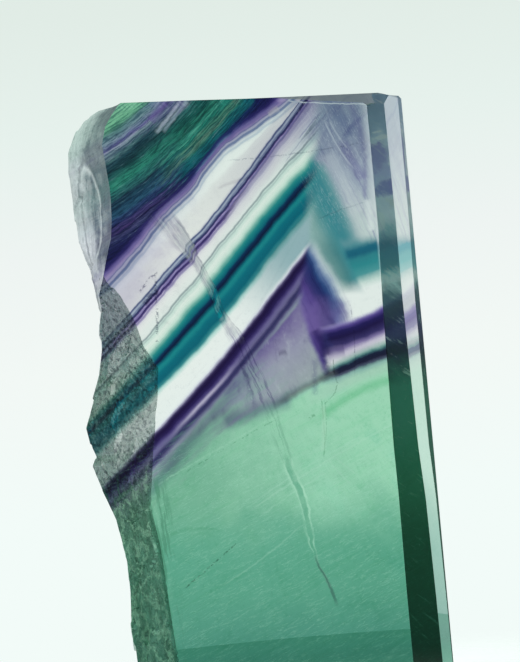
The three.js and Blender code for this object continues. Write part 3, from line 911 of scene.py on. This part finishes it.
def finishMaterial(shader, surface):
    # The surface around a body that takes on the haze colour with depth
    values = {"Color": fluoriteBody["haze"], "Density": fluoriteBody["density"]}
    haze = shader.node("ShaderNodeVolumeAbsorption", values=values)
    shader.node("ShaderNodeOutputMaterial", values={"Surface": surface, "Volume": haze})
    return shader.owner


def sharedTint(shader, tint, part):
    # A surface lets the square root of its colour through, so twice the share is its power
    return shader.node("ShaderNodeGamma", values={0: tint, 1: 2 * fluoriteBody["share"][part]})


behindFront = {
    # what the front face carries of the rough wall behind it
    "veins": (0.70, 1.0, 0.76),
    "pits": (0.20, 0.22, 0.26),
}


def makeFront():
    # The layers and marks, paler where the ground side and the broken wall lie behind them, with
    # the pale veins, pits and grains of that wall
    shader = Shader(bpy.data.materials.new("polishedFront"))
    x, _, z = shader.place()
    tint = markFront(shader, x, z, growthColour(shader, x, z))
    sharp = shader.step(x, 15.3, 15.5) * shader.step(z, 60.0, 57.0)
    soft = shader.step(x, 14.6, 16.2) * shader.step(z, 57.0, 60.0)
    paler = sharp * shader.step(z, 28.0, 36.0) * 0.4 + soft * 0.75
    wallEnd = shader.curve(z, [(row[0], row[3]) for row in slabShape["broken"] if row[0] < 56])
    onWall = shader.step(x - wallEnd, 0.3, -0.3) * shader.step(z, 56.0, 54.5)
    lowWall = onWall * shader.step(z - x, 45.8, 44.6)
    net = shader.noise(x * 0.9, 31.0, z * 0.5, 0.8, 3.0, 0.6).maths("ABSOLUTE")
    dark = 1.0 - shader.window(z - x, 45.9, 49.4, 0.5)
    tint = shader.mix(paler * shader.step(x, 17.9, 17.6) + onWall * dark * 0.08, tint, white)
    veins = lowWall * (shader.step(net, 0.045, 0.015) * 0.8 + 0.06)
    tint = shader.mix(veins, tint, behindFront["veins"])
    pits = shader.noise(x * 1.2 + z * 0.5, 41.0, z * 0.8 - x * 0.4, 2.2, 4.0, 0.75)
    above = (onWall - lowWall * 0.6) * shader.step(z, 56.0, 53.0)
    tint = shader.shade(above * shader.step(pits, 0.02, 0.08) * 0.85, tint, behindFront["pits"])
    tint = shader.mix(above * shader.step(-pits, 0.04, 0.10) * dark * 0.3, tint, white)
    return finishMaterial(shader, fluorite(shader, sharedTint(shader, tint, "front"), 0.0))


def makePolished(part):
    # The layers alone; the steep bevel of the right side lets more light past than the top does
    shader = Shader(bpy.data.materials.new("polished" + part.capitalize()))
    x, _, z = shader.place()
    tint = sharedTint(shader, growthColour(shader, x, z), part)
    if part == "edges":
        tint = shader.mix(shader.step(x, 17.2, 17.8) * 0.5, tint, white)
    return finishMaterial(shader, fluorite(shader, tint, 0.0))


brokenSide = {
    "roughness": 0.6,
    "skinRoughness": 0.5,
    "frosted": (0.10, 0.68),  # share of frosted skin on the rough wall and on the bulge
    # the clear part of the rough wall is darkened by these
    "strokes": (0.24, 0.26, 0.30),
    "grains": (0.50, 0.52, 0.54),
    "pits": (0.34, 0.36, 0.38),
    # skin of the rough wall, darker and lighter, and its hatching
    "wall": ((0.50, 0.52, 0.52), (0.96, 0.98, 0.96)),
    "hatching": (0.08, 0.09, 0.12),
    # skin of the bulge from its front edge inwards, and what lies over it
    "bulge": [(-6.0, (0.04, 0.05, 0.07)), (-4.8, (0.10, 0.12, 0.14)), (-3.6, (0.26, 0.29, 0.30)),
              (-1.6, (0.50, 0.53, 0.54)), (2.0, (0.58, 0.62, 0.62))],
    "bulgeTop": (0.70, 0.80, 0.75),
    "bulgeFoot": (0.80, 0.82, 0.84),
    "bulgeGrains": (0.46, 0.48, 0.50),
    "uprights": (0.40, 0.42, 0.46),
    # a painted highlight on the leaf-shaped ridge's inner flank, and a painted shade on its outer flank
    "ridge": (0.62, 0.66, 0.65),
    "paintedGrooveShade": (0.08, 0.09, 0.10),
}


def shellRing(y, z):
    # How far a place is from the middle of the shell, where 1 is the shell's oval ridge
    shell = slabShape["shell"]
    inY = (y + halfThickness - shell["depth"]) * (1 / shell["halfDepth"])
    inZ = (z - shell["height"]) * (1 / shell["halfHeight"])
    return (inY * inY + inZ * inZ).maths("SQRT")


def makeBroken():
    # Rough crystal mixed with a frosted skin: hatched grey on the wall; on the bulge paler away
    # from the front, with long upright streaks, and a painted highlight and a painted shade along
    # its leaf-shaped ridge
    shader = Shader(bpy.data.materials.new("brokenFluorite"))
    x, y, z = shader.place()
    tint = sharedTint(shader, growthColour(shader, x, z), "broken")
    grain = shader.noise(x, y, z, 1.4, 5.0, 0.75)
    hatch = shader.noise(y * 1.2 + z * 0.9, x, z * 0.5, 1.6, 4.0, 0.75)
    upper = shader.step(z + grain * 8.0, 27.0, 33.0)
    strokes = shader.step(hatch, 0.06, 0.12) * upper
    tint = shader.shade(strokes * 0.85, tint, brokenSide["strokes"])
    tint = shader.shade(shader.step(grain, 0.0, 0.14) * (upper + 0.2) * 0.45, tint, brokenSide["grains"])
    pits = shader.noise(x, y * 1.3, z, 3.4, 3.0, 0.7)
    tint = shader.shade(shader.step(pits, 0.04, 0.14) * (upper + 0.2) * 0.5, tint, brokenSide["pits"])
    clear = fluorite(shader, tint, brokenSide["roughness"])
    wall = shader.mix(shader.step(grain + hatch, -0.2, 0.2), *brokenSide["wall"])
    wall = shader.mix(shader.step(hatch, 0.06, 0.16) * 0.75, wall, brokenSide["hatching"])

    upright = shader.noise(y * 1.5, x * 0.3, z * 0.12, 1.0, 5.0, 0.7)
    cloud = shader.noise(x, y, z, 0.35, 4.0, 0.6)
    bulge = shader.ramp(y + upright * 9.0 + grain * 4.0 + cloud * 7.0, brokenSide["bulge"])
    bulge = shader.shade(shader.step(z + cloud * 6.0, 64.5, 70.0), bulge, brokenSide["bulgeTop"])
    foot = shader.step(z + cloud * 6.0, 62.0, 58.0) * shader.step(y + upright * 3.0, -4.2, -3.2)
    bulge = shader.mix(foot * 0.6, bulge, brokenSide["bulgeFoot"])
    bulge = shader.shade(shader.step(grain, 0.0, 0.12) * 0.6, bulge, brokenSide["bulgeGrains"])
    bulge = shader.shade(shader.step(upright, 0.04, 0.12) * 0.5, bulge, brokenSide["uprights"])
    ring = shellRing(y, z) + upright * 0.4
    # painted highlight on the ridge's inner flank, then painted shade on its outer flank
    bulge = shader.mix(shader.window(ring, 0.93, 1.0, 0.05) * 0.5, bulge, brokenSide["ridge"])
    bulge = shader.mix(shader.window(ring, 1.05, 1.16, 0.06) * 0.6, bulge, brokenSide["paintedGrooveShade"])

    onBulge = shader.step(z, 53.0, 57.0)
    frost = shader.mix(onBulge, wall, bulge)
    values = {"Base Color": frost, "Roughness": brokenSide["skinRoughness"]}
    skin = shader.node("ShaderNodeBsdfPrincipled", values=values)
    low, high = brokenSide["frosted"]
    lit = shader.step(-hatch - pits, 0.06, 0.14) * (1.0 - onBulge) * 0.4
    amount = onBulge * (high - low) + low + grain * 0.4 + lit
    return finishMaterial(shader, shader.node("ShaderNodeMixShader", values={0: amount, 1: clear, 2: skin}))


groundSide = {
    "roughness": (0.25, 0.5),  # of the clear part and of the ground skin
    # share of ground skin where the side is worn thin above, and how much more there is below
    "skin": (0.75, 0.22),
    "wornFrom": (50.6, 51.0),  # heights between which it thins, mm, lower towards the back
    # seen from the front the side narrows to this share of its depth, starting at this x, mm
    "seen": (0.27, 17.6),
    # up the ground right side: height mm and colour; the stone's layers, deepened by painted shade
    # for the dark strip that this side shows through the front face
    "colours": [(0, (0.02, 0.10, 0.08)), (20, (0.03, 0.16, 0.12)), (38, (0.05, 0.25, 0.19)),
                (42, (0.03, 0.08, 0.10)), (45, (0.06, 0.07, 0.20)), (49, (0.14, 0.24, 0.28)),
                (51.2, (0.60, 0.76, 0.74)), (52.3, (0.08, 0.40, 0.46)), (55, (0.06, 0.34, 0.46)),
                (57, (0.34, 0.56, 0.62)), (58.6, (0.80, 0.86, 0.90)), (60.4, (0.64, 0.70, 0.80)),
                (63.5, (0.52, 0.52, 0.82)), (66.8, (0.42, 0.44, 0.74)), (67.6, (0.72, 0.80, 0.90)),
                (69, (0.42, 0.56, 0.76)), (74, (0.38, 0.50, 0.72))],
    # patches: middle and half size as seen from the front (mm), colour
    "patches": [((17.0, 64.6), (0.7, 1.9), (0.95, 0.97, 0.98)),
                ((15.7, 65.6), (0.6, 1.6), (0.26, 0.22, 0.60)),
                ((16.6, 61.9), (1.3, 0.9), (0.14, 0.12, 0.52)),
                ((16.7, 60.1), (0.7, 0.8), (0.60, 0.64, 0.66)),
                # these three small white patches are painted glints of light reflected inside the crystal
                ((16.2, 67.9), (0.7, 0.25), (0.95, 0.97, 0.97)),
                ((15.7, 68.6), (0.35, 0.12), (0.95, 0.97, 0.97)),
                ((16.9, 69.2), (0.4, 0.12), (0.90, 0.94, 0.95)),
                ((15.4, 58.4), (0.35, 1.4), (0.75, 0.80, 0.80))],
    "scratches": (0.80, 0.92, 0.86),
    "scuffs": (0.6, 0.7, 0.66),
}


def makeGround():
    # The matt ground side, dense below and worn thin above, its layers deepened by painted shade,
    # with patches, painted glints and pale scratches. From the front it shows narrowed, so its
    # depth is first turned into the x it is seen at.
    shader = Shader(bpy.data.materials.new("groundFluorite"))
    x, y, z = shader.place()
    clearRoughness, skinRoughness = groundSide["roughness"]
    clear = fluorite(shader, sharedTint(shader, growthColour(shader, x, z), "ground"), clearRoughness)
    scuffs = shader.noise(x, y * 0.3, z, 2.2, 4.0, 0.7)
    cloud = shader.noise(x, y * 0.4, z, 0.5, 4.0, 0.65)
    narrowing, startX = groundSide["seen"]
    seenX = (y + (halfThickness - slabShape["bevelDepth"])) * -narrowing + startX
    hairs = shader.noise(seenX * 1.6 + z * 0.9, 3.0, z * 0.35, 1.2, 4.0, 0.7)
    tint = shader.ramp(z + cloud * 3.0 + hairs * 4.0, groundSide["colours"])
    for (middleX, middleZ), (halfX, halfZ), patch in groundSide["patches"]:
        inX, inZ = (seenX - middleX) * (1 / halfX), (z - middleZ) * (1 / halfZ)
        inside = shader.step(inX * inX + inZ * inZ + cloud * 4.0 + hairs * 2.0, 1.6, 0.4)
        tint = shader.mix(inside * 0.8, tint, patch)
    scratched = shader.window(z, 33.0, 51.0, 4.0) * 0.35 + 0.15
    tint = shader.mix(shader.step(hairs, 0.08, 0.18) * scratched, tint, groundSide["scratches"])
    tint = shader.mix(shader.step(scuffs, 0.08, 0.3) * 0.25, tint, groundSide["scuffs"])
    values = {"Base Color": tint, "Roughness": skinRoughness, "Specular IOR Level": 0.0}
    skin = shader.node("ShaderNodeBsdfPrincipled", values=values)
    chip = z + ((y - 3.4).maths("MAXIMUM", 0.0) ** 2.0) * 0.22 + scuffs * 0.3
    thin, more = groundSide["skin"]
    wornLow, wornHigh = groundSide["wornFrom"]
    amount = shader.step(chip, wornHigh, wornLow) * more + thin
    return finishMaterial(shader, shader.node("ShaderNodeMixShader", values={0: amount, 1: clear, 2: skin}))


slab = makeSlab(slabShape)
print("slab made:", len(slab.data.polygons), "faces")
for material in (makeFront(), makePolished("back"), makePolished("edges"), makeBroken(), makeGround()):
    slab.data.materials.append(material)
print("materials made:", len(slab.data.materials))
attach(slab, "root")
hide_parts("fluorite_slab")


surroundings = {
    # the pale backdrop, by how far a line of sight climbs
    "backdrop": [(-0.07, (0.888, 0.965, 0.939)), (-0.012, (0.888, 0.939, 0.913)),
                 (0.037, (0.855, 0.905, 0.888)), (0.087, (0.791, 0.880, 0.840)),
                 (0.134, (0.753, 0.840, 0.791)), (0.30, (0.70, 0.79, 0.74))],
    # how bright the room is for light that bends through the crystal, by the same climb
    "room": [(-1.0, (0.30, 0.31, 0.31)), (-0.45, (0.36, 0.38, 0.38)), (-0.2, (0.62, 0.64, 0.64)),
             (-0.08, (1.0, 1.0, 1.0)), (0.5, (1.0, 1.0, 1.0)), (1.0, (1.3, 1.3, 1.3))],
    "mirrored": 0.22,  # share of the room that a polished face mirrors
    "floorRadius": 85.0,  # mm
    "floorSolid": 33.0,  # it fades out from here to its rim, mm
    "floorDrop": 0.05,  # how far it lies below the slab's base, mm
    "floorPoints": 96,  # around its rim
    "floorColours": ((0.80, 0.84, 0.82), (0.86, 0.89, 0.87)),
}


def makeWorld(setup):
    # The backdrop everywhere; dimmer below and brighter above for light that the crystal bends,
    # and dim in mirror reflections.
    shader = Shader(bpy.data.worlds.new("studio"))
    climb = shader.parts(shader.node("ShaderNodeTexCoord", output="Generated"))[2]
    backdrop = shader.ramp(climb, setup["backdrop"])
    room = shader.shade(1.0, backdrop, shader.ramp(climb, setup["room"]))
    seen = shader.node("ShaderNodeLightPath", output="Is Camera Ray")
    passed = shader.node("ShaderNodeLightPath", output="Is Transmission Ray")
    mirrored = shader.node("ShaderNodeLightPath", output="Is Glossy Ray") * (1.0 - passed)
    colours = shader.mix(seen, room, backdrop)
    strength = 1.0 - mirrored * (1.0 - setup["mirrored"])
    light = shader.node("ShaderNodeBackground", values={"Color": colours, "Strength": strength})
    shader.node("ShaderNodeOutputWorld", values={"Surface": light})
    bpy.context.scene.world = shader.owner


def makeFloor(setup):
    # A pale, slightly grainy disc that fades out before its rim
    count, radius = setup["floorPoints"], setup["floorRadius"]
    angles = np.linspace(0, 2 * math.pi, count, endpoint=False)
    rim = np.stack([np.cos(angles), np.sin(angles), np.zeros(count)], 1) * radius * mm
    rim[:, 2] = cadBox[0][2] - setup["floorDrop"] * mm
    floor = makeMesh("floor", rim, [list(range(count))])
    shader = Shader(bpy.data.materials.new("paleFloor"))
    x, y, _ = shader.place()
    out = (x * x + y * y).maths("SQRT")
    grain = shader.noise(x, y, 0.0, 0.8, 4.0)
    values = {"Base Color": shader.mix(grain + 0.5, *setup["floorColours"]),
              "Roughness": 0.8, "Alpha": shader.step(out, radius, setup["floorSolid"]) ** 2.0}
    surface = shader.node("ShaderNodeBsdfPrincipled", values=values)
    shader.node("ShaderNodeOutputMaterial", values={"Surface": surface})
    floor.data.materials.append(shader.owner)


lamps = [
    # name, where it is and what it faces (mm), size (mm), power in watts
    {"name": "overhead", "at": (-60, -40, 260), "to": (0, 0, 40), "size": 160, "power": 0.5},
    {"name": "leftSide", "at": (-240, -120, 90), "to": (-15, 0, 55), "size": 140, "power": 0.4},
]


def makeLamp(setup):
    # A square area lamp turned towards what it lights
    data = bpy.data.lights.new(setup["name"], "AREA")
    data.energy, data.size = setup["power"], setup["size"] * mm
    lamp = bpy.data.objects.new(setup["name"], data)
    bpy.context.scene.collection.objects.link(lamp)
    lamp.location = Vector(setup["at"]) * mm
    lamp.rotation_euler = (Vector(setup["to"]) - Vector(setup["at"])).to_track_quat("-Z", "Y").to_euler()


makeWorld(surroundings)
makeFloor(surroundings)
for lamp in lamps:
    makeLamp(lamp)
bpy.context.scene.view_settings.view_transform = "Standard"
bpy.context.scene.cycles.min_light_bounces = 12  # so that dark layers keep their full colour
print("backdrop, floor and lamps made")
